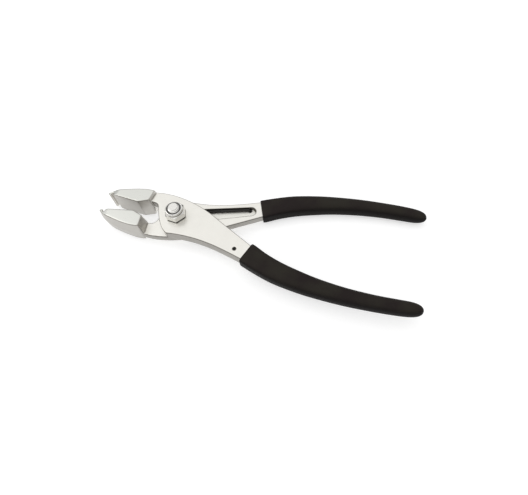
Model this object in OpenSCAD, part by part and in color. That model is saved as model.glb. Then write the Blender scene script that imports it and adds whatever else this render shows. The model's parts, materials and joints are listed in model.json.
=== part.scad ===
// Spring-loaded gripping pliers with a bolted lap joint.
// Both arms are the same forging, one turned half a turn about the long axis.
// Forging frame: the pivot axis is Z, the lap plane is z = 0, the jaw points
// along -X and the arm's own half of the joint lies at z > 0.

/* [Arms] */
// Thickness of one arm at the lap joint
arm_t = 5.8; // [5.4:0.1:6.4]
// Half the width of a jaw, measured along the pivot axis
jaw_half_w = 8.4; // [8:0.1:9]
// How far the forged edges of an arm spread from its outer face to its parting line
arm_draft = 1; // [0.2:0.1:1.4]
// How far the outer edge of a jaw spreads from its side face to its middle
jaw_draft = 1.3; // [0.2:0.1:1.6]
// How far the shoulder behind a jaw leans back from side face to middle
shoulder_draft = 2.2; // [0.5:0.1:2.4]

/* [Jaws] */
// Angle between the gripping faces where the spring holds them
open_angle = 13.6; // [6:0.2:18]
// Distance from the pivot to the tip of a jaw
jaw_reach = 56; // [54:0.5:58]
// Radius of the wire groove across the tip of each jaw
groove_r = 1.2; // [0.8:0.1:1.4]
// Half-width of a jaw at its tip
tip_half_w = 6.6; // [4:0.2:7]

/* [Pivot] */
// Diameter of the pivot bolt
bolt_d = 7.94; // [7.5:0.02:8.2]
// Radial running clearance between the bolt and the front arm
bolt_play = 0.05; // [0.02:0.01:0.08]
// Diameter of the bolt's flat head
head_d = 15; // [13:0.5:16]
// Side of the square neck that keys the bolt in the rear arm
neck_side = 8.6; // [8.4:0.1:9]
// Width of the nut across its flats
nut_flats = 12.7; // [12:0.1:13]
// Height of the hexagon of the nut
nut_hex_h = 5.1; // [4.8:0.1:6.4]
// Height of the whole nut with its collar
nut_h = 7.1; // [6.8:0.1:8.4]
// Turn of the nut about the pivot
nut_turn = -68; // [-90:1:90]

/* [Spring] */
// Diameter of the spring wire
wire_d = 1.7; // [1.5:0.1:2.2]
// Radius of the coil at the middle of the wire
coil_r = 6.5; // [6.3:0.1:6.6]
// Depth of the pocket that holds the spring in each arm
pocket_depth = 2.6; // [2.5:0.1:3.2]

/* [Grips] */
// Number of sides of a grip's section
grip_sides = 44; // [24:4:48]
// Half the thickness of a grip at its middle
grip_half_t = 5.5; // [5:0.1:6.4]

/* [Hidden] */

lap_z = jaw_half_w;              // the lap plane's height above the rest plane
lap_gap = 0.1;                   // running gap between the two arms
parting_z = 2.4;                 // parting line of an arm, above the lap plane
lap_spread = 0.6;                // how far the edges still spread at the lap plane
face_z = lap_gap / 2;            // inner face of an arm, in the forging frame
head_h = jaw_half_w - arm_t;     // brings the bolt head level with the jaws' sides
bolt_r = bolt_d / 2;
bolt_end = 1.8;                  // thread that stands out of the nut
nut_z = lap_z + arm_t + 0.05;    // underside of the nut
boss_r = 5.2;                    // ring left round the bore inside the coil pocket
pocket_r = 7.9;                  // outer radius of the coil pocket
hook = [49, -12.5];              // where the spring's end turns into its hole
hook_hole_r = 1.2;
hook_bend_r = 1.6;
hook_sink = 0.5;                 // how far the hook stays below the outer face
leg_z = 1.5;                     // middle of a spring leg above the lap plane
channel_end = [50.2, -10.3];     // middle of the round end of the leg channel
channel_end_r = 3.4;
grip_face_y = 0.1;               // half the gap that is left when the jaws close
satin_nickel = [0.80, 0.79, 0.76];
bright_zinc = [0.84, 0.83, 0.80];
black_steel = [0.10, 0.09, 0.09];
dark_nylon = [0.16, 0.15, 0.15];
black_vinyl = [0.09, 0.085, 0.08];

// ---- curves -------------------------------------------------------------

function unit(v) = v / norm(v);

function spline_point(a, b, c, d, t) =
    b + (c - a) * t / 2
      + (2 * a - 5 * b + 4 * c - d) * t * t / 2
      + (3 * b - a - 3 * c + d) * t * t * t / 2;

// A smooth curve through the knots, with the given number of steps between two.
function curve(knots, steps) = concat(
    [for (i = [0:len(knots) - 2], s = [0:steps - 1])
        spline_point(knots[max(i - 1, 0)], knots[i], knots[i + 1],
                     knots[min(i + 2, len(knots) - 1)], s / steps)],
    [knots[len(knots) - 1]]);

function arc(centre, r, from, to, steps) =
    [for (s = [0:steps]) let (a = from + (to - from) * s / steps)
        centre + r * [cos(a), sin(a)]];

function reversed(list) = [for (i = [len(list) - 1:-1:0]) list[i]];

// ---- solids -------------------------------------------------------------

// A closed solid through rings of points, each counter-clockwise when seen
// from the last ring.
module skin(rings) {
    n = len(rings[0]);
    last = len(rings) - 1;
    polyhedron(
        points = [for (ring = rings) each ring],
        faces = concat(
            [[for (j = [0:n - 1]) j]],
            [for (i = [0:last - 1], j = [0:n - 1])
                each [[i * n + j, (i + 1) * n + j, (i + 1) * n + (j + 1) % n],
                      [i * n + j, (i + 1) * n + (j + 1) % n, i * n + (j + 1) % n]]],
            [[for (j = [n - 1:-1:0]) last * n + j]]),
        convexity = 8);
}

// A round bar of the given radius swept along a path of points.
module wire(path, r, sides) {
    n = len(path);
    along = [for (i = [0:n - 1])
        unit(path[min(i + 1, n - 1)] - path[max(i - 1, 0)])];
    across = [for (i = 0, u = unit(cross(along[0], [0.3, 0.8, 0.5])); i < n;
                   i = i + 1,
                   u = i < n ? unit(u - (u * along[i]) * along[i]) : u) u];
    skin([for (i = [0:n - 1])
        let (u = unit(across[i] - (across[i] * along[i]) * along[i]),
             v = cross(along[i], u))
        [for (k = [0:sides - 1])
            path[i] + r * (cos(360 * k / sides) * u + sin(360 * k / sides) * v)]]);
}

// A bar of rounded section at height z. A station is [x, y, half-width,
// half-thickness, squareness]: 2 gives an ellipse, and larger values a rounded
// rectangle.
module bar(stations, z, steps) {
    path = curve(stations, steps);
    n = len(path);
    skin([for (i = [0:n - 1])
        let (p = path[i],
             step = path[min(i + 1, n - 1)] - path[max(i - 1, 0)],
             along = unit([step[0], step[1]]))
        [for (k = [0:grip_sides - 1])
            let (a = 360 * (k + 0.5) / grip_sides,
                 across = p[2] * sign(cos(a)) * pow(abs(cos(a)), 2 / p[4]),
                 up = p[3] * sign(sin(a)) * pow(abs(sin(a)), 2 / p[4]))
            [p[0] - along[1] * across, p[1] + along[0] * across, z + up]]]);
}

// ---- the forging --------------------------------------------------------

shoulder_x = -23.4;
tip_length = 7.5;                // how much of the jaw narrows towards its tip
far = 90;                        // past every edge of an arm
groove_x = -(jaw_reach - 3.8);
groove_y = 0.9;

// The outlines are drawn where they meet the outer face of the arm or jaw.
jaw_back = curve([[-(jaw_reach + 2), -0.6], [-(jaw_reach - 1), 1.6], [-50.2, 5.2],
                  [-42, 8.5], [-34, 11.1], [-27.6, 12.5],
                  [shoulder_x + 3, 12.6]], 3);
arm_inner_edge = curve([[-30, 10.6], [-21.5, 13.2], [-12, 14.4], [-2, 14.1],
                        [10, 12], [22, 8.3], [34.5, 2.9], [49.5, -3.3],
                        [68, -11]], 4);
arm_outer_edge = curve([[68, -21], [54.5, -17.9], [43, -15.7], [32, -14.15],
                        [21, -13.55], [10.5, -14.1], [2.5, -15.2],
                        [-6, -17.4]], 4);

// The gripping side of a jaw, from the hollow to the tip.
jaw_front = concat(
    [[far, 3.9], [shoulder_x + 0.3, 3.9], [-30.3, grip_face_y],
     [groove_x + groove_r + 0.2, grip_face_y]],
    arc([groove_x, groove_y], groove_r, -10, 190, 10),
    [[groove_x - groove_r - 0.2, grip_face_y],
     [-(jaw_reach - 1), grip_face_y],
     [-(jaw_reach - 0.2), grip_face_y + 0.7],
     [-jaw_reach, grip_face_y + 1.8]]);

// The arm's own half of the lap joint, with the hollow behind the jaws.
joint_edge = concat(
    [[4, -16.9], [1, -16]],
    curve([[-1.2, -15.1], [-4.2, -13.2], [-8.2, -9.2], [-11.6, -4.6],
           [-14.2, -0.4], [-15.7, 2.5], [-17.6, 4.3], [-21, 4.6],
           [-27, 5.4]], 3));

// Everything but what lies beyond a curved edge, which slants: it meets the
// curve at the given height, and spreads along Y by tan(lean) for each unit
// below it. The edge's curve runs towards +X for side 1, and -X for side -1.
module slanted(edge, height, lean, side) {
    spread = height * tan(lean);
    line = [for (p = edge) [p[0], (p[1] + side * spread) * cos(lean)]];
    rotate([side * lean, 0, 0])
        linear_extrude(height = 60, center = true)
            polygon(concat([[line[0][0], side * far]], line,
                           [[line[len(line) - 1][0], side * far]],
                           [[side * far, side * far], [side * far, -side * far],
                            [-side * far, -side * far],
                            [-side * far, side * far]]));
}

module jaw() {
    lean = atan(jaw_draft / jaw_half_w);
    intersection() {
        linear_extrude(height = 2 * jaw_half_w + 2, center = true)
            polygon(concat(jaw_front, [[-jaw_reach, far], [far, far]]));
        rotate([90, 0, 0])
            linear_extrude(height = 2 * far, center = true)
                polygon([[shoulder_x, jaw_half_w],
                         [-jaw_reach + tip_length, jaw_half_w],
                         [-jaw_reach - 1, tip_half_w],
                         [-jaw_reach - 1, -tip_half_w],
                         [-jaw_reach + tip_length, -jaw_half_w],
                         [shoulder_x, -jaw_half_w],
                         [shoulder_x + shoulder_draft, 0]]);
        slanted(jaw_back, jaw_half_w, lean, 1);
        mirror([0, 0, 1]) slanted(jaw_back, jaw_half_w, lean, 1);
    }
}

module arm_plate() {
    upper_lean = atan(arm_draft / (arm_t - parting_z));
    lower_lean = atan((arm_draft - lap_spread) / parting_z);
    lower_height = lap_spread / tan(lower_lean);
    intersection() {
        translate([0, 0, face_z])
            linear_extrude(height = arm_t - face_z)
                polygon(concat(joint_edge, [[-27, far], [67, far], [67, -far],
                                            [4, -far]]));
        slanted(arm_inner_edge, arm_t, upper_lean, 1);
        slanted(arm_outer_edge, arm_t, upper_lean, -1);
        mirror([0, 0, 1]) slanted(arm_inner_edge, lower_height, lower_lean, 1);
        mirror([0, 0, 1]) slanted(arm_outer_edge, lower_height, lower_lean, -1);
    }
}

// The plain flat bar inside a grip.
tang_z = arm_t / 2;
tang_t = 4.4;
tang_axis = curve([[62, -14.2], [80, -18.6], [100, -20.8], [122, -20.9],
                   [140, -19.4], [159, -16.7]], 3);
tang_w = [4.6, 2.4];             // half the width at each end

module tang() {
    n = len(tang_axis);
    sides = [for (side = [1, -1]) [for (i = [0:n - 1])
        let (along = unit(tang_axis[min(i + 1, n - 1)] - tang_axis[max(i - 1, 0)]),
             w = tang_w[0] + (tang_w[1] - tang_w[0]) * i / (n - 1))
        tang_axis[i] + side * w * [-along[1], along[0]]]];
    translate([0, 0, tang_z - tang_t / 2])
        linear_extrude(height = tang_t)
            polygon(concat(sides[0], reversed(sides[1])));
}

// The pocket in the lap face: a ring for the coil and a channel for the leg.
module spring_pocket() {
    difference() {
        translate([0, 0, -1])
            cylinder(h = pocket_depth + 1, r = pocket_r, $fn = 96);
        translate([0, 0, -2])
            cylinder(h = pocket_depth + 4, r = boss_r, $fn = 96);
    }
    translate([0, 0, -1])
        linear_extrude(height = pocket_depth + 1)
            polygon(concat([[7, 1.8], [6.3, -0.8], [2.9, -5.6], [0.4, -7.85]],
                           arc(channel_end, channel_end_r, -97, 79, 12)));
    translate([hook[0], hook[1], 0])
        cylinder(h = arm_t + 1, r = hook_hole_r, $fn = 32);
}

module forging() {
    difference() {
        union() {
            jaw();
            arm_plate();
            tang();
        }
        spring_pocket();
    }
}

// ---- places -------------------------------------------------------------

module place_front()
    translate([0, 0, lap_z]) rotate([0, 0, -open_angle / 2]) children();

module place_rear()
    translate([0, 0, lap_z]) rotate([0, 0, open_angle / 2])
        rotate([180, 0, 0]) children();

// ---- sub-parts ----------------------------------------------------------

module front_arm()
    color(satin_nickel) place_front()
        difference() {
            forging();
            translate([0, 0, -1])
                cylinder(h = arm_t + 2, r = bolt_r + bolt_play, $fn = 96);
        }

module rear_arm()
    color(satin_nickel) place_rear()
        difference() {
            forging();
            translate([0, 0, -1])
                cylinder(h = arm_t + 2, r = bolt_r + bolt_play, $fn = 96);
            translate([-neck_side / 2, -neck_side / 2, pocket_depth + 0.2])
                cube([neck_side, neck_side, arm_t]);
        }

module pivot_bolt()
    color(bright_zinc) {
        top = nut_z + nut_h + bolt_end;
        chamfer = 0.9;
        rotate_extrude($fn = 96)
            polygon([[0, 0], [head_d / 2 - 0.8, 0], [head_d / 2, 0.8],
                     [head_d / 2, head_h - 0.05], [bolt_r, head_h - 0.05],
                     [bolt_r, top - chamfer], [bolt_r - chamfer, top],
                     [0, top]]);
        rotate([0, 0, open_angle / 2])
            translate([-neck_side / 2 + 0.02, -neck_side / 2 + 0.02, head_h - 0.5])
                cube([neck_side - 0.04, neck_side - 0.04,
                      arm_t - pocket_depth + 0.25]);
    }

// The collar's crimped lip closes over the insert.
insert_r = 5.6;
insert_z = nut_z + nut_hex_h - 0.4;
insert_h = 1.9;
lip_r = 5.1;
collar_neck_r = 5.75;            // the groove between the collar and the hexagon

module pivot_nut()
    color(bright_zinc)
        difference() {
            union() {
                intersection() {
                    translate([0, 0, nut_z]) rotate([0, 0, nut_turn])
                        cylinder(h = nut_hex_h, d = nut_flats / cos(30), $fn = 6);
                    translate([0, 0, nut_z])
                        rotate_extrude($fn = 96)
                            polygon([[0, 0], [5.9, 0], [7.5, 0.9],
                                     [7.5, nut_hex_h - 1], [6.1, nut_hex_h],
                                     [0, nut_hex_h]]);
                }
                translate([0, 0, nut_z + nut_hex_h - 0.5])
                    rotate_extrude($fn = 96)
                        polygon(concat([[0, 0], [collar_neck_r, 0],
                                        [collar_neck_r, 0.8], [6, 1.2]],
                                       arc([5.2, nut_h - nut_hex_h - 0.3], 0.8,
                                           0, 90, 4),
                                       [[0, nut_h - nut_hex_h + 0.5]]));
            }
            translate([0, 0, nut_z - 1])
                cylinder(h = nut_h + 2, r = bolt_r + 0.02, $fn = 96);
            translate([0, 0, insert_z])
                cylinder(h = insert_h, r = insert_r, $fn = 96);
            translate([0, 0, insert_z])
                cylinder(h = nut_h, r = lip_r, $fn = 96);
        }

module nut_insert()
    color(dark_nylon)
        translate([0, 0, insert_z])
            difference() {
                cylinder(h = insert_h, r = insert_r, $fn = 96);
                translate([0, 0, -1])
                    cylinder(h = insert_h + 2, r = bolt_r + 0.01, $fn = 96);
            }

// The leg of the spring in the forging frame, from the coil to its hooked end.
tangent_turn = atan2(hook[1], hook[0]) - acos(coil_r / norm(hook));
leg_start = coil_r * [cos(tangent_turn), sin(tangent_turn)];
leg_way = unit(hook - leg_start);
leg = concat(
    [for (s = [0.02, 0.35, 0.7])
        let (p = leg_start + s * (hook - leg_start)) [p[0], p[1], leg_z]],
    [for (a = [0:18:90])
        let (p = hook - hook_bend_r * (1 - sin(a)) * leg_way)
        [p[0], p[1], leg_z + hook_bend_r * (1 - cos(a))]],
    [[hook[0], hook[1], arm_t - hook_sink]]);

function turned(p, a) = [p[0] * cos(a) - p[1] * sin(a),
                         p[0] * sin(a) + p[1] * cos(a), p[2]];
front_leg = [for (p = leg) turned(p, -open_angle / 2)];
rear_leg = [for (p = leg) turned([p[0], -p[1], -p[2]], open_angle / 2)];

coil_from = -tangent_turn + open_angle / 2;
coil_sweep = 720 - 2 * coil_from;
coil_steps = 28;
coil = [for (s = [0:coil_steps])
    let (a = coil_from + coil_sweep * s / coil_steps)
    [coil_r * cos(a), coil_r * sin(a), leg_z * (2 * s / coil_steps - 1)]];

module return_spring()
    color(black_steel) translate([0, 0, lap_z])
        wire(concat(reversed(rear_leg), coil, front_leg), wire_d / 2, 12);

grip_stations = [[57.15, -12.65, 7.45, 4.3, 6],
                 [59.2, -13.25, 7.6, 4.4, 5.6],
                 [68, -16.1, 7.2, 4.8, 4.2],
                 [80, -18.9, 7, 5.2, 3.2],
                 [95, -20.6, 6.5, grip_half_t, 2.6],
                 [108, -21.2, 5.9, grip_half_t, 2.4],
                 [124, -20.9, 5.3, 5.4, 2.3],
                 [140, -19.5, 4.9, 5.2, 2.2],
                 [153, -17.7, 4.7, 5, 2.2],
                 [161, -16.3, 4.4, 4.5, 2.2],
                 [165.2, -15.5, 3.5, 3.5, 2.2],
                 [167.3, -15.1, 2.2, 2.1, 2.1],
                 [168.1, -15, 0.7, 0.6, 2]];

module grip()
    difference() {
        bar(grip_stations, tang_z, 3);
        arm_plate();
        tang();
    }

module lower_grip() color(black_vinyl) place_front() grip();

module upper_grip() color(black_vinyl) place_rear() grip();

front_arm();
rear_arm();
pivot_bolt();
pivot_nut();
nut_insert();
return_spring();
lower_grip();
upper_grip();
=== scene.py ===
import json
import math

import bmesh
import bpy
import numpy as np
from mathutils import Matrix, Vector

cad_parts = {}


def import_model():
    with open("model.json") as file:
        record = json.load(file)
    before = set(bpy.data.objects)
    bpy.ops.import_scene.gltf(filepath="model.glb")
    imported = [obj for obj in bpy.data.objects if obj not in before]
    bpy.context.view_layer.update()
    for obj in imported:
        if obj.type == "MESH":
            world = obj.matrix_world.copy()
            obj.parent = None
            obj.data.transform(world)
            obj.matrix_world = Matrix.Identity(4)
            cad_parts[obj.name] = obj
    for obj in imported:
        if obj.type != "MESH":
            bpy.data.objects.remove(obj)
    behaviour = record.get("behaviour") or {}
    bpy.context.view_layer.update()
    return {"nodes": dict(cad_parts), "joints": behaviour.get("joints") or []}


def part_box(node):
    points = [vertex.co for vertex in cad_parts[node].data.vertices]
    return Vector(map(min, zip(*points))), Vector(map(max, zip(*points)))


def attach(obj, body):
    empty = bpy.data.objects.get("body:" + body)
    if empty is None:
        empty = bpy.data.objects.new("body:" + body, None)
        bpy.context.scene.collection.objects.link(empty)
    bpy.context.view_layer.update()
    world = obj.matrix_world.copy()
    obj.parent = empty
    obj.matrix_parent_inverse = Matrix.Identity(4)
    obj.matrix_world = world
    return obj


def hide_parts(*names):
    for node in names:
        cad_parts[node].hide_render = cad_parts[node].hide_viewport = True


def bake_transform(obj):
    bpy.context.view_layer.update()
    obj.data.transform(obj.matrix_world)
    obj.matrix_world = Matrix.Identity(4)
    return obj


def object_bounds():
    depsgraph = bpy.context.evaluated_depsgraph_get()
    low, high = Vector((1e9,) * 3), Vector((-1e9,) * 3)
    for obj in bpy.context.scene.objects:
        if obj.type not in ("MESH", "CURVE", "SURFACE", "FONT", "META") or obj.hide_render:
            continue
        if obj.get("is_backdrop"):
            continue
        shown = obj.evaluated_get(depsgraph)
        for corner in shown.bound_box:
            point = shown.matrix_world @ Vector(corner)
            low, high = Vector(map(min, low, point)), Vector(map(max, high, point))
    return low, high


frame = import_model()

MM = 0.001
scene = bpy.context.scene
LAP_Z = frame["joints"][0]["pos_m"][2]    # height of the plane where the arms meet
OPEN = math.radians(13.6)                 # angle between the gripping faces at rest


# ---------------------------------------------------------------- node tools

def material(name):
    """A new material with one shader, its node tree and that shader."""
    mat = bpy.data.materials.new(name)
    mat.use_nodes = True
    tree = mat.node_tree
    tree.nodes.clear()
    out = tree.nodes.new("ShaderNodeOutputMaterial")
    bsdf = tree.nodes.new("ShaderNodeBsdfPrincipled")
    tree.links.new(bsdf.outputs[0], out.inputs["Surface"])
    return mat, tree, bsdf


def millimetres(tree, scale=(1, 1, 1), rotation=(0, 0, 0)):
    """Object coordinates in millimetres, stretched by scale."""
    coords = tree.nodes.new("ShaderNodeTexCoord")
    mapping = tree.nodes.new("ShaderNodeMapping")
    mapping.inputs["Scale"].default_value = [s / MM for s in scale]
    mapping.inputs["Rotation"].default_value = rotation
    tree.links.new(coords.outputs["Object"], mapping.inputs["Vector"])
    return mapping.outputs["Vector"]


def noise(tree, vector, scale, detail=3, roughness=0.6):
    n = tree.nodes.new("ShaderNodeTexNoise")
    n.inputs["Scale"].default_value = scale
    n.inputs["Detail"].default_value = detail
    n.inputs["Roughness"].default_value = roughness
    tree.links.new(vector, n.inputs["Vector"])
    return n.outputs["Fac"]


def remap(tree, value, source, target, smooth=False):
    """Takes the two ends of source to the two ends of target, and stops there."""
    n = tree.nodes.new("ShaderNodeMapRange")
    n.interpolation_type = "SMOOTHSTEP" if smooth else "LINEAR"
    n.inputs["From Min"].default_value = source[0]
    n.inputs["From Max"].default_value = source[1]
    n.inputs["To Min"].default_value = target[0]
    n.inputs["To Max"].default_value = target[1]
    tree.links.new(value, n.inputs["Value"])
    return n.outputs["Result"]


def math_node(tree, operation, a, b=0):
    n = tree.nodes.new("ShaderNodeMath")
    n.operation = operation
    for socket, value in zip(n.inputs, (a, b)):
        if isinstance(value, (int, float)):
            socket.default_value = value
        else:
            tree.links.new(value, socket)
    return n.outputs[0]


def mix_value(tree, factor, a, b):
    n = tree.nodes.new("ShaderNodeMix")
    n.data_type = "FLOAT"
    tree.links.new(factor, n.inputs[0])
    for socket, value in ((n.inputs[2], a), (n.inputs[3], b)):
        if isinstance(value, (int, float)):
            socket.default_value = value
        else:
            tree.links.new(value, socket)
    return n.outputs[0]


def mix_colour(tree, factor, a, b, blend="MIX"):
    n = tree.nodes.new("ShaderNodeMix")
    n.data_type = "RGBA"
    n.blend_type = blend
    if isinstance(factor, (int, float)):
        n.inputs[0].default_value = factor
    else:
        tree.links.new(factor, n.inputs[0])
    for socket, value in ((n.inputs[6], a), (n.inputs[7], b)):
        if isinstance(value, tuple):
            socket.default_value = (*value, 1)
        else:
            tree.links.new(value, socket)
    return n.outputs[2]


def tinted(tree, factor, colour, shade):
    """colour where factor is 1, and colour times shade where it is 0."""
    shaded = mix_colour(tree, 1, colour, shade, "MULTIPLY")
    return mix_colour(tree, factor, shaded, colour)


def bump(tree, height, strength, distance, normal=None):
    n = tree.nodes.new("ShaderNodeBump")
    n.inputs["Strength"].default_value = strength
    n.inputs["Distance"].default_value = distance
    tree.links.new(height, n.inputs["Height"])
    if normal is not None:
        tree.links.new(normal, n.inputs["Normal"])
    return n.outputs["Normal"]


# ---------------------------------------------------------------- masks

def place(tree):
    """X, Y and Z of a point of the object, in millimetres."""
    split = tree.nodes.new("ShaderNodeSeparateXYZ")
    tree.links.new(millimetres(tree), split.inputs[0])
    return split.outputs


def facing(tree):
    """X, Y and Z of the surface's normal."""
    geometry = tree.nodes.new("ShaderNodeNewGeometry")
    split = tree.nodes.new("ShaderNodeSeparateXYZ")
    tree.links.new(geometry.outputs["Normal"], split.inputs[0])
    return split.outputs


def upright(tree, limits):
    """1 where the surface faces up or down, and 0 on the flanks."""
    steep = math_node(tree, "ABSOLUTE", facing(tree)["Z"])
    return remap(tree, steep, limits, (0, 1), smooth=True)


def outside(tree, value, middle, half_width, fade):
    """0 within half_width of the middle value, and 1 beyond the fade."""
    offset = math_node(tree, "ABSOLUTE", math_node(tree, "SUBTRACT", value, middle))
    return remap(tree, offset, (half_width, half_width + fade), (0, 1), smooth=True)


def bend_mask(tree, full, none):
    """0 where the bend that measure_bend stored is full, and 1 where it is none."""
    bend = tree.nodes.new("ShaderNodeAttribute")
    bend.attribute_name = "bend"
    return remap(tree, bend.outputs["Fac"], (full, none), (0, 1))


# ---------------------------------------------------------------- materials

# Where an arm's look changes, from the start of each change to its end, in millimetres.
JAW_TIP = (-50, -47)           # X where the jaws begin to narrow
JAW_ROOT = (-22.5, -20.5)      # X where the jaws give way to the flats of the lap
SHOULDER_END = (-14, -12)      # X past which the arms have no shoulder
POCKET_RIM = (0.6, 1.2)        # distance from the lap plane, just inside the spring pockets
POCKET_END = (3.0, 4.0)        # distance from the lap plane, just past the pockets' floors


def forged_steel():
    """Flats ground and plated bright; forged flanks left darker, partly as their own finish
    and partly as painted shade, with painted shade in creases, painted dark reflections on
    edges and painted light on shoulders and jaw tips.
    """
    mat, tree, bsdf = material("forged_steel")
    where = place(tree)
    cloud = noise(tree, millimetres(tree), scale=0.14, detail=4)
    grind = noise(tree, millimetres(tree, (0.05, 2.2, 2.2), (0, 0, 0.12)), scale=1.6)
    peen = noise(tree, millimetres(tree), scale=1.5)

    on_jaw = remap(tree, where["X"], JAW_ROOT, (1, 0), smooth=True)
    at_tip = remap(tree, where["X"], JAW_TIP, (1, 0), smooth=True)
    # Painted light: the sloped tip of each jaw takes the bright flat colour.
    tip_slope_painted_light = math_node(tree, "MULTIPLY", at_tip, upright(tree, (0.3, 0.6)))
    flat = math_node(tree, "MAXIMUM", upright(tree, (0.86, 0.985)), tip_slope_painted_light)
    depth = math_node(tree, "SUBTRACT", where["Z"], LAP_Z / MM)
    depth = math_node(tree, "ABSOLUTE", depth)
    in_pocket = math_node(tree, "MULTIPLY",
                          remap(tree, depth, POCKET_RIM, (0, 1)),
                          remap(tree, depth, POCKET_END, (1, 0)))
    # Painted light: marks the shoulder faces that turn to +X.
    shoulder = math_node(tree, "MULTIPLY",
                         remap(tree, where["X"], SHOULDER_END, (1, 0)),
                         remap(tree, facing(tree)["X"], (0.3, 0.6), (0, 1)))

    flat_dark, flat_light = (0.765, 0.748, 0.700), (0.84, 0.826, 0.778)
    flat_colour = mix_colour(tree, cloud, flat_dark, flat_light)
    jaw_flat = (0.665, 0.672, 0.635)
    jaw_share = math_node(tree, "MULTIPLY", on_jaw, 0.85)
    flat_colour = mix_colour(tree, jaw_share, flat_colour, jaw_flat)
    pocket_floor = (0.84, 0.83, 0.78)
    flat_colour = mix_colour(tree, in_pocket, flat_colour, pocket_floor)

    # Flank colour: partly the forged finish, partly painted shade for the dark surroundings
    # the flanks reflect; it also paints dark lines along the rounded edges of the flats.
    flank_dark, flank_light = (0.31, 0.298, 0.275), (0.42, 0.405, 0.38)
    flank_colour = mix_colour(tree, cloud, flank_dark, flank_light)
    jaw_flank = (0.50, 0.485, 0.455)
    flank_colour = mix_colour(tree, on_jaw, flank_colour, jaw_flank)
    # Painted light: the shoulder faces are lifted to almost the flats' colour.
    shoulder_painted_light = (0.84, 0.82, 0.78)
    flank_colour = mix_colour(tree, shoulder, flank_colour, shoulder_painted_light)

    colour = mix_colour(tree, flat, flank_colour, flat_colour)
    # Painted shade: creases darkened.
    painted_crease_shade = (0.36, 0.34, 0.30)
    colour = tinted(tree, bend_mask(tree, -0.09, -0.025), colour, painted_crease_shade)
    # Painted reflection: rounded edges darkened as if reflecting dark surroundings, strongly
    # on the arms, less on the jaws, hardly at the tips.
    arm_edge, jaw_edge, tip_edge = (0.30, 0.29, 0.27), (0.66, 0.65, 0.63), (0.96, 0.95, 0.93)
    painted_edge_reflection = mix_colour(tree, on_jaw, arm_edge, jaw_edge)
    painted_edge_reflection = mix_colour(tree, at_tip, painted_edge_reflection, tip_edge)
    colour = tinted(tree, bend_mask(tree, 0.10, 0.03), colour, painted_edge_reflection)
    tree.links.new(colour, bsdf.inputs["Base Color"])
    bsdf.inputs["Metallic"].default_value = 1

    pocket_extra = math_node(tree, "MULTIPLY", in_pocket, 0.25)
    rough_flat = remap(tree, grind, (0.3, 0.7), (0.27, 0.34))
    rough_flat = math_node(tree, "ADD", rough_flat, pocket_extra)
    rough_flank = remap(tree, peen, (0.3, 0.7), (0.34, 0.42))
    tree.links.new(mix_value(tree, flat, rough_flank, rough_flat), bsdf.inputs["Roughness"])

    ground = bump(tree, grind, strength=0.05, distance=0.06 * MM)
    peened = bump(tree, peen, strength=0.10, distance=0.10 * MM, normal=ground)
    tree.links.new(peened, bsdf.inputs["Normal"])
    return mat


def plated_hardware():
    """Bright zinc, with painted shadow round the nut's foot and painted shade in the groove
    under its collar and in creases.
    """
    mat, tree, bsdf = material("plated_hardware")
    cloud = noise(tree, millimetres(tree), scale=0.8, detail=4)
    fine = noise(tree, millimetres(tree), scale=5)
    height = place(tree)["Z"]
    nut_low, nut_high = (corner[2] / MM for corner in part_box("pivot_nut"))
    # Painted shadow: a near-black band round the foot of the nut.
    off_foot_shadow = outside(tree, height, nut_low, half_width=0.55, fade=0.35)
    collar_drop = 1.75           # from the top of the nut down to the groove
    # Painted shade in the groove under the collar.
    off_groove_shade = outside(tree, height, nut_high - collar_drop, half_width=0.15, fade=0.3)

    colour = mix_colour(tree, cloud, (0.72, 0.71, 0.675), (0.82, 0.81, 0.78))
    colour = tinted(tree, off_foot_shadow, colour, (0.06, 0.055, 0.045))
    colour = tinted(tree, off_groove_shade, colour, (0.35, 0.33, 0.30))
    # Painted shade: creases darkened.
    colour = tinted(tree, bend_mask(tree, -0.15, -0.02), colour, (0.30, 0.28, 0.25))
    tree.links.new(colour, bsdf.inputs["Base Color"])
    bsdf.inputs["Metallic"].default_value = 1
    rough = remap(tree, cloud, (0.3, 0.7), (0.16, 0.25))
    tree.links.new(rough, bsdf.inputs["Roughness"])
    tree.links.new(bump(tree, fine, strength=0.08, distance=0.06 * MM), bsdf.inputs["Normal"])
    return mat


def dark_nylon():
    """The locking ring's plastic, almost black."""
    mat, tree, bsdf = material("dark_nylon")
    fine = noise(tree, millimetres(tree), scale=3)
    colour = mix_colour(tree, fine, (0.080, 0.075, 0.073), (0.120, 0.114, 0.110))
    tree.links.new(colour, bsdf.inputs["Base Color"])
    rough = remap(tree, fine, (0.3, 0.7), (0.42, 0.55))
    tree.links.new(rough, bsdf.inputs["Roughness"])
    tree.links.new(bump(tree, fine, strength=0.15, distance=0.08 * MM), bsdf.inputs["Normal"])
    return mat


def black_wire():
    """Spring wire with a thin black coat."""
    mat, tree, bsdf = material("black_wire")
    fine = noise(tree, millimetres(tree), scale=2, detail=4)
    colour = mix_colour(tree, fine, (0.010, 0.009, 0.008), (0.024, 0.022, 0.019))
    tree.links.new(colour, bsdf.inputs["Base Color"])
    bsdf.inputs["Specular IOR Level"].default_value = 0.3
    rough = remap(tree, fine, (0.3, 0.7), (0.40, 0.55))
    tree.links.new(rough, bsdf.inputs["Roughness"])
    tree.links.new(bump(tree, fine, strength=0.10, distance=0.06 * MM), bsdf.inputs["Normal"])
    return mat


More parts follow.
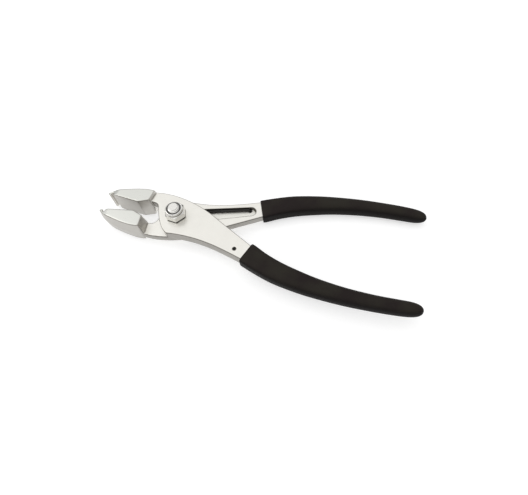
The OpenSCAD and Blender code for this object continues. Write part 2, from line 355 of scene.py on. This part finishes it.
def dipped_vinyl():
    """Matte vinyl, a little greyer on the faces turned up or down as painted light, with
    painted shade on its sides.
    """
    mat, tree, bsdf = material("dipped_vinyl")
    cloud = noise(tree, millimetres(tree), scale=0.06, detail=4)
    skin = noise(tree, millimetres(tree), scale=0.9, detail=4)
    fine = noise(tree, millimetres(tree), scale=4.5, detail=2, roughness=0.5)

    brown, olive = (0.0150, 0.0105, 0.0098), (0.0215, 0.0185, 0.0140)
    painted_lit_tone = mix_colour(tree, remap(tree, cloud, (0.38, 0.62), (0, 1)), brown, olive)
    # Painted shade: the sides are near black, while the faces turned up or down get the
    # painted lighter tone.
    painted_side_shade = (0.0060, 0.0046, 0.0042)
    colour = mix_colour(tree, upright(tree, (0.35, 0.98)), painted_side_shade, painted_lit_tone)
    tree.links.new(colour, bsdf.inputs["Base Color"])
    bsdf.inputs["Specular IOR Level"].default_value = 0.12
    rough = remap(tree, skin, (0.3, 0.7), (0.50, 0.62))
    tree.links.new(rough, bsdf.inputs["Roughness"])
    dimpled = bump(tree, skin, strength=0.16, distance=0.20 * MM)
    grained = bump(tree, fine, strength=0.12, distance=0.06 * MM, normal=dimpled)
    tree.links.new(grained, bsdf.inputs["Normal"])
    return mat


MATERIALS = {
    "forged_steel": forged_steel(),
    "plated_hardware": plated_hardware(),
    "dark_nylon": dark_nylon(),
    "black_wire": black_wire(),
    "dipped_vinyl": dipped_vinyl(),
}


# ---------------------------------------------------------------- pieces

def measure_bend(mesh, rounds=4):
    """Stores each vertex's bend: above 0 on edges, below 0 in creases."""
    count = len(mesh.vertices)
    points = np.empty(count * 3)
    mesh.vertices.foreach_get("co", points)
    points = points.reshape(-1, 3)
    normals = np.empty(count * 3)
    mesh.vertex_normals.foreach_get("vector", normals)
    normals = normals.reshape(-1, 3)
    ends = np.empty(len(mesh.edges) * 2, dtype=np.int32)
    mesh.edges.foreach_get("vertices", ends)
    a, b = ends.reshape(-1, 2).T

    def gathered(at_a, at_b):
        return np.bincount(a, at_a, count) + np.bincount(b, at_b, count)

    way = points[b] - points[a]
    way /= np.linalg.norm(way, axis=1)[:, None]
    degree = gathered(np.ones(len(a)), np.ones(len(a)))
    bend = gathered(-(way * normals[a]).sum(1), (way * normals[b]).sum(1)) / degree
    for _ in range(rounds):
        bend = (bend + gathered(bend[b], bend[a]) / degree) / 2
    stored = mesh.attributes.new("bend", "FLOAT", "POINT")
    stored.data.foreach_set("value", bend.astype(np.float32))


def finish_piece(obj, slot, cad_node):
    """Gives a piece its looks and hides the CAD node that it stands in for."""
    measure_bend(obj.data)
    obj.data.materials.clear()
    obj.data.materials.append(MATERIALS[slot])
    for polygon in obj.data.polygons:
        polygon.use_smooth = True
        polygon.material_index = 0
    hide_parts(cad_node)


def softened(cad_node, name, voxel, passes):
    """A copy of a CAD node with its edges rounded over, as a new object."""
    mesh = frame["nodes"][cad_node].data.copy()
    work = bmesh.new()
    work.from_mesh(mesh)
    bmesh.ops.remove_doubles(work, verts=work.verts, dist=0.001 * MM)
    work.to_mesh(mesh)
    work.free()
    obj = bpy.data.objects.new(name, mesh)
    scene.collection.objects.link(obj)
    remesh = obj.modifiers.new("remesh", "REMESH")
    remesh.mode = "VOXEL"
    remesh.voxel_size = voxel
    smooth = obj.modifiers.new("smooth", "SMOOTH")
    smooth.factor = 0.5
    smooth.iterations = passes
    graph = bpy.context.evaluated_depsgraph_get()
    final = bpy.data.meshes.new_from_object(obj.evaluated_get(graph))
    obj.modifiers.clear()
    obj.data = final
    final.name = name
    return obj


def cut_thread(obj, start_z, pitch, depth, core_r, fade):
    """Presses a helical groove into the rod's side above start_z."""
    for vertex in obj.data.vertices:
        x, y, z = vertex.co
        around = math.hypot(x, y)
        if z < start_z or around < core_r:
            continue
        phase = z / pitch - math.atan2(y, x) / (2 * math.pi)
        groove = 0.5 - 0.5 * math.cos(2 * math.pi * phase)
        cut = depth * groove * min(1, (around - core_r) / fade)
        scale = (around - cut) / around
        vertex.co = (x * scale, y * scale, z)
    obj.data.update()


# CAD node, piece, slot, body, voxel in millimetres, smoothing passes
PIECES = (
    ("front_arm", "front_arm_forging", "forged_steel", "front_arm", 0.33, 5),
    ("rear_arm", "rear_arm_forging", "forged_steel", "rear_arm", 0.33, 5),
    ("pivot_nut", "lock_nut", "plated_hardware", "rear_arm", 0.11, 3),
    ("pivot_bolt", "threaded_bolt", "plated_hardware", "rear_arm", 0.13, 3),
    ("nut_insert", "locking_ring", "dark_nylon", "rear_arm", 0.11, 4),
    ("lower_grip", "lower_grip_sleeve", "dipped_vinyl", "front_arm", 0.32, 12),
    ("upper_grip", "upper_grip_sleeve", "dipped_vinyl", "rear_arm", 0.32, 12),
)

for cad_node, name, slot, body, voxel, passes in PIECES:
    piece = softened(cad_node, name, voxel * MM, passes)
    if cad_node == "pivot_bolt":
        cut_thread(piece, start_z=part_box("nut_insert")[0][2], pitch=1.25 * MM,
                   depth=0.62 * MM, core_r=3.12 * MM, fade=0.3 * MM)
    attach(piece, body)
    finish_piece(piece, slot, cad_node)


# ---------------------------------------------------------------- spring

# The spring's sizes in millimetres. Heights are above or below the lap plane.
COIL_R = 6.5
WIRE_R = 0.85
LEG_Z = 1.5                        # middle of a leg
HOOK = np.array([49.0, -12.5])     # where a leg turns into the hole of its arm
BEND_R = 1.6
HOOK_TOP = 5.3
WIRE_SIDES = 20


def turned(points, angle):
    """The points, turned about the pivot's axis."""
    c, s = math.cos(angle), math.sin(angle)
    turn = np.array([[c, -s, 0], [s, c, 0], [0, 0, 1]])
    return points @ turn.T


def front_leg(tangent):
    """From where the wire leaves the coil to the end of the hook, arms parallel."""
    start = COIL_R * np.array([math.cos(tangent), math.sin(tangent)])
    length = np.linalg.norm(HOOK - start)
    way = (HOOK - start) / length
    straight = [[*(start + s * length * way), LEG_Z] for s in np.linspace(0.01, 0.94, 40)]
    bend = [[*(HOOK - BEND_R * (1 - math.sin(a)) * way), LEG_Z + BEND_R * (1 - math.cos(a))]
            for a in np.linspace(0, math.pi / 2, 14)]
    return np.array(straight + bend + [[*HOOK, HOOK_TOP]])


def spring_path():
    """The wire's centre line in millimetres, from the rear hook to the front."""
    tangent = math.atan2(HOOK[1], HOOK[0]) - math.acos(COIL_R / np.linalg.norm(HOOK))
    leg = front_leg(tangent)
    front = turned(leg, -OPEN / 2)
    rear = turned(leg * [1, -1, -1], OPEN / 2)[::-1]
    first = -tangent + OPEN / 2
    sweep = 4 * math.pi - 2 * first
    coil = [[COIL_R * math.cos(first + sweep * s), COIL_R * math.sin(first + sweep * s),
             LEG_Z * (2 * s - 1)] for s in np.linspace(0, 1, 110)]
    return np.concatenate([rear, coil, front])


def tube(name, path, radius, sides):
    """A closed tube round the path, as a new object."""
    along = np.gradient(path, axis=0)
    along /= np.linalg.norm(along, axis=1)[:, None]
    across = np.cross(along[0], [0.3, 0.8, 0.5])    # any direction that isn't along the wire
    vertices, faces = [], []
    angles = np.arange(sides) * 2 * math.pi / sides
    for i, (point, way) in enumerate(zip(path, along)):
        across = across - (across @ way) * way
        across /= np.linalg.norm(across)
        other = np.cross(way, across)
        for angle in angles:
            spoke = math.cos(angle) * across + math.sin(angle) * other
            vertices.append(Vector(point + radius * spoke))
        if i:
            for k in range(sides):
                a = (i - 1) * sides + k
                b = (i - 1) * sides + (k + 1) % sides
                faces.append((a, b, b + sides, a + sides))
    last = (len(path) - 1) * sides
    faces.append(tuple(range(sides))[::-1])
    faces.append(tuple(range(last, last + sides)))
    mesh = bpy.data.meshes.new(name)
    mesh.from_pydata(vertices, [], faces)
    mesh.update()
    obj = bpy.data.objects.new(name, mesh)
    scene.collection.objects.link(obj)
    return obj


wire = tube("return_spring_wire", spring_path() * MM + [0, 0, LAP_Z], WIRE_R * MM, WIRE_SIDES)
finish_piece(wire, "black_wire", "return_spring")
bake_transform(wire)


# ---------------------------------------------------------------- stage

def floor(half_size=3.0, drop=0.1 * MM):
    """A white floor just under the part."""
    mesh = bpy.data.meshes.new("floor")
    mesh.from_pydata([(-half_size, -half_size, 0), (half_size, -half_size, 0),
                      (half_size, half_size, 0), (-half_size, half_size, 0)],
                     [], [(0, 1, 2, 3)])
    obj = bpy.data.objects.new("floor", mesh)
    scene.collection.objects.link(obj)
    obj.location.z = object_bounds()[0][2] - drop
    mat, tree, bsdf = material("floor_white")
    bsdf.inputs["Base Color"].default_value = (0.60, 0.60, 0.60, 1)
    bsdf.inputs["Roughness"].default_value = 0.9
    bsdf.inputs["Specular IOR Level"].default_value = 0.1
    bsdf.inputs["Emission Color"].default_value = (1, 1, 1, 1)
    bsdf.inputs["Emission Strength"].default_value = 0.56
    mesh.materials.append(mat)
    obj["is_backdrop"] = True


def area_light(name, location, target, size, power):
    """A square light turned to its target."""
    light = bpy.data.lights.new(name, "AREA")
    light.shape = "SQUARE"
    light.size = size
    light.energy = power
    obj = bpy.data.objects.new(name, light)
    obj.location = location
    way = Vector(target) - Vector(location)
    obj.rotation_euler = way.to_track_quat("-Z", "Y").to_euler()
    scene.collection.objects.link(obj)


def world():
    """A white tent, dark near the horizon, dimmer to the right and a little to the left."""
    studio = bpy.data.worlds.new("studio")
    studio.use_nodes = True
    tree = studio.node_tree
    background = tree.nodes["Background"]
    coords = tree.nodes.new("ShaderNodeTexCoord")
    split = tree.nodes.new("ShaderNodeSeparateXYZ")
    tree.links.new(coords.outputs["Generated"], split.inputs[0])
    height = remap(tree, split.outputs["Z"], (0.10, 0.56), (0.08, 1.06), smooth=True)
    right_side = remap(tree, split.outputs["X"], (0.1, 0.8), (1.0, 0.72), smooth=True)
    left_side = remap(tree, split.outputs["X"], (-0.95, -0.3), (0.82, 1.0), smooth=True)
    sides = math_node(tree, "MULTIPLY", right_side, left_side)
    level = math_node(tree, "MULTIPLY", height, sides)
    seen = tree.nodes.new("ShaderNodeLightPath")
    plain = mix_value(tree, seen.outputs["Is Camera Ray"], level, 1)
    tree.links.new(plain, background.inputs["Strength"])
    background.inputs["Color"].default_value = (1, 1, 1, 1)
    scene.world = studio


def aim_camera(location, right, down, ahead, widths):
    """Sets up the camera from the way it faces; widths is its focal length in image widths."""
    camera = bpy.data.cameras.new("camera")
    camera.sensor_width = 36
    camera.lens = widths * camera.sensor_width
    camera.clip_start = 0.01
    view = bpy.data.objects.new("camera", camera)
    axes = Matrix((right, -down, -ahead)).transposed().to_4x4()
    view.matrix_world = Matrix.Translation(location) @ axes
    scene.collection.objects.link(view)
    scene.camera = view


floor()
world()
area_light("key", location=(-0.9, 0.1, 0.9), target=(0.05, 0, 0), size=0.6, power=2.0)
aim_camera(location=(0.11338, -0.1326, 0.22744),
           right=Vector((0.96649, 0.24418, -0.07925)),
           down=Vector((0.17135, -0.84345, -0.50915)),
           ahead=Vector((-0.19117, 0.4785, -0.85702)),
           widths=0.738258)
scene.view_settings.view_transform = "Standard"
